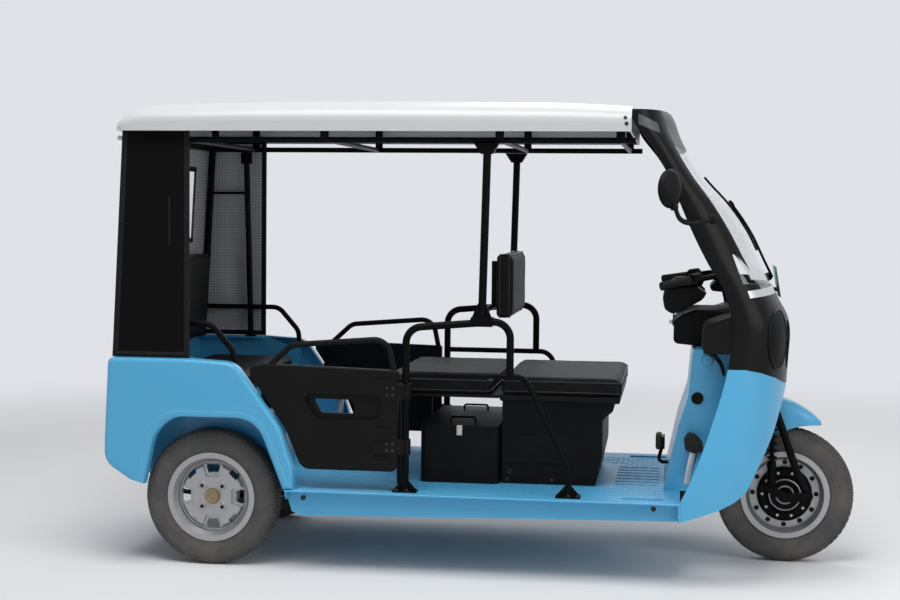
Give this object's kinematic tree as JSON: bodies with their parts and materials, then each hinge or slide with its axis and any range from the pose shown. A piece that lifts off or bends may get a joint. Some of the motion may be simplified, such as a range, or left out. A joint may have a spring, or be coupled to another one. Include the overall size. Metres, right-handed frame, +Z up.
{
  "type": "auto rickshaw: open-sided electric passenger tricycle with a fixed roof",
  "caption": "Open-sided electric passenger tricycle with a moulded roof, half doors, bench seats, a raked front fork and three spoked-disc wheels.",
  "frame": {"origin": "on the ground under the middle of the vehicle's length and width", "axes": "+X forward, +Y to the vehicle's left, +Z up"},
  "size_m": [2.879, 1.3348, 1.8],
  "materials": {
    "body_paint": "satin bright light blue moulded panels",
    "roof_white": "satin white moulded roof",
    "black_plastic": "grained black moulded plastic",
    "black_steel": "satin black painted tube",
    "cushion": "dark grey textured leathercloth",
    "curtain": "matt black coated cloth, grey dotted inside",
    "glass": "clear curved sheet",
    "lamp_clear": "clear ribbed lens",
    "lamp_red": "red ribbed lens",
    "tyre": "dusty tread rubber",
    "rim_steel": "silver painted pressed steel",
    "rubber": "matt black rubber",
    "box_plastic": "fine grained black plastic"
  },
  "bodies": {
    "body": {"back_bar": "black_steel", "backrests": "cushion", "battery_block": "box_plastic", "brake_pedal": "black_steel", "chassis_frame": "black_steel", "dash_panel": "black_plastic", "driver_seat_base": "box_plastic", "floor_pan": "body_paint", "front_lamps": "lamp_clear", "glazing": "glass", "inner_shield": "body_paint", "leaf_springs": "black_steel", "lower_cowl": "body_paint", "mirrors": "black_plastic", "quarter_panel_left": "body_paint", "quarter_panel_right": "body_paint", "rear_axle": "black_steel", "rear_curtain": "curtain", "rear_frame_left": "black_steel", "rear_frame_right": "black_steel", "roof_frame": "black_steel", "roof_shell": "roof_white", "seat_cushions": "cushion", "seat_tub": "body_paint", "side_curtains": "curtain", "side_frame_left": "black_steel", "side_frame_right": "black_steel", "storage_box": "box_plastic", "tail_lamps": "lamp_red", "tail_panel": "body_paint", "upper_cowl": "black_plastic", "windscreen_surround": "black_plastic"},
    "steering": {"front_fork": "black_steel", "front_suspension": "black_steel", "handlebar": "black_steel", "hand_grips": "rubber", "front_fender": "body_paint"},
    "front_wheel": {"front_tyre": "tyre", "front_rim": "rim_steel", "front_hub": "black_steel"},
    "rear_wheel_right": {"rear_tyre_right": "tyre", "rear_rim_right": "rim_steel"},
    "rear_wheel_left": {"rear_tyre_left": "tyre", "rear_rim_left": "rim_steel"},
    "door_right": {"door_right": "black_plastic"},
    "door_left": {"door_left": "black_plastic"},
    "storage_lid": {"storage_box_lid": "box_plastic"}
  },
  "joints": [
    {"name": "steering", "type": "hinge", "parent": "body", "child": "steering", "pos_m": [1.09535, 0, 0.7], "axis": [-0.3322, 0, 0.9432], "range_deg": [-35, 35]},
    {"name": "front_wheel_spin", "type": "hinge", "parent": "steering", "child": "front_wheel", "pos_m": [1.1715, 0, 0.268], "axis": [0, 1, 0], "continuous": true},
    {"name": "rear_wheel_right_spin", "type": "hinge", "parent": "body", "child": "rear_wheel_right", "pos_m": [-1.0355, -0.462, 0.264], "axis": [0, 1, 0], "continuous": true},
    {"name": "rear_wheel_left_spin", "type": "hinge", "parent": "body", "child": "rear_wheel_left", "pos_m": [-1.0355, 0.462, 0.264], "axis": [0, 1, 0], "continuous": true},
    {"name": "door_right_swing", "type": "hinge", "parent": "body", "child": "door_right", "pos_m": [-0.2695, -0.525, 0.593], "axis": [0, 0, 1], "range_deg": [0, 95]},
    {"name": "door_left_swing", "type": "hinge", "parent": "body", "child": "door_left", "pos_m": [-0.2695, 0.525, 0.593], "axis": [0, 0, -1], "range_deg": [0, 95]},
    {"name": "storage_lid_lift", "type": "hinge", "parent": "body", "child": "storage_lid", "pos_m": [-0.2505, 0, 0.5283], "axis": [0, -1, 0], "range_deg": [0, 15]}
  ]
}
